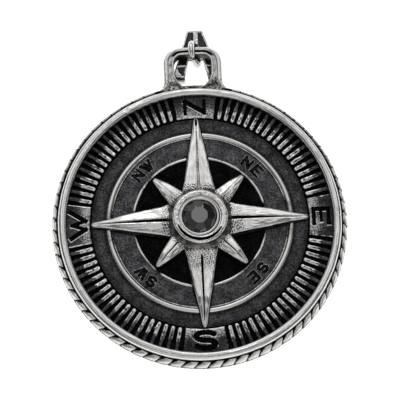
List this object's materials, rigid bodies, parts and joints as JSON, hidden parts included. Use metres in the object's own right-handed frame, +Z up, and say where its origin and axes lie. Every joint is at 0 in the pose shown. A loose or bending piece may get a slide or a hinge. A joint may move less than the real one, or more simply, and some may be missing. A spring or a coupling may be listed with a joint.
{
  "type": "compass pendant",
  "caption": "Round cast compass pendant with a raised compass rose, a black stone in a bezel, a rope edge, a carrying loop, a jump ring and a folded bail.",
  "frame": {"origin": "centre of the case's flat back, on the surface that the pendant lies on", "axes": "+Z up out of the dial's face, +Y from the dial's centre towards the carrying loop and the bail"},
  "size_m": [0.0445, 0.0542, 0.0078],
  "materials": {
    "antiqued_steel": "cast, blackened in the recesses and polished on the raised parts",
    "polished_steel": "polished, with blackened grooves",
    "black_stone": "opaque black, faceted and polished"
  },
  "bodies": {
    "root": {"compass_case": "antiqued_steel", "compass_rose": "polished_steel", "stone_bezel": "polished_steel", "black_stone": "black_stone", "jump_ring": "polished_steel", "bail": "polished_steel"}
  },
  "joints": []
}
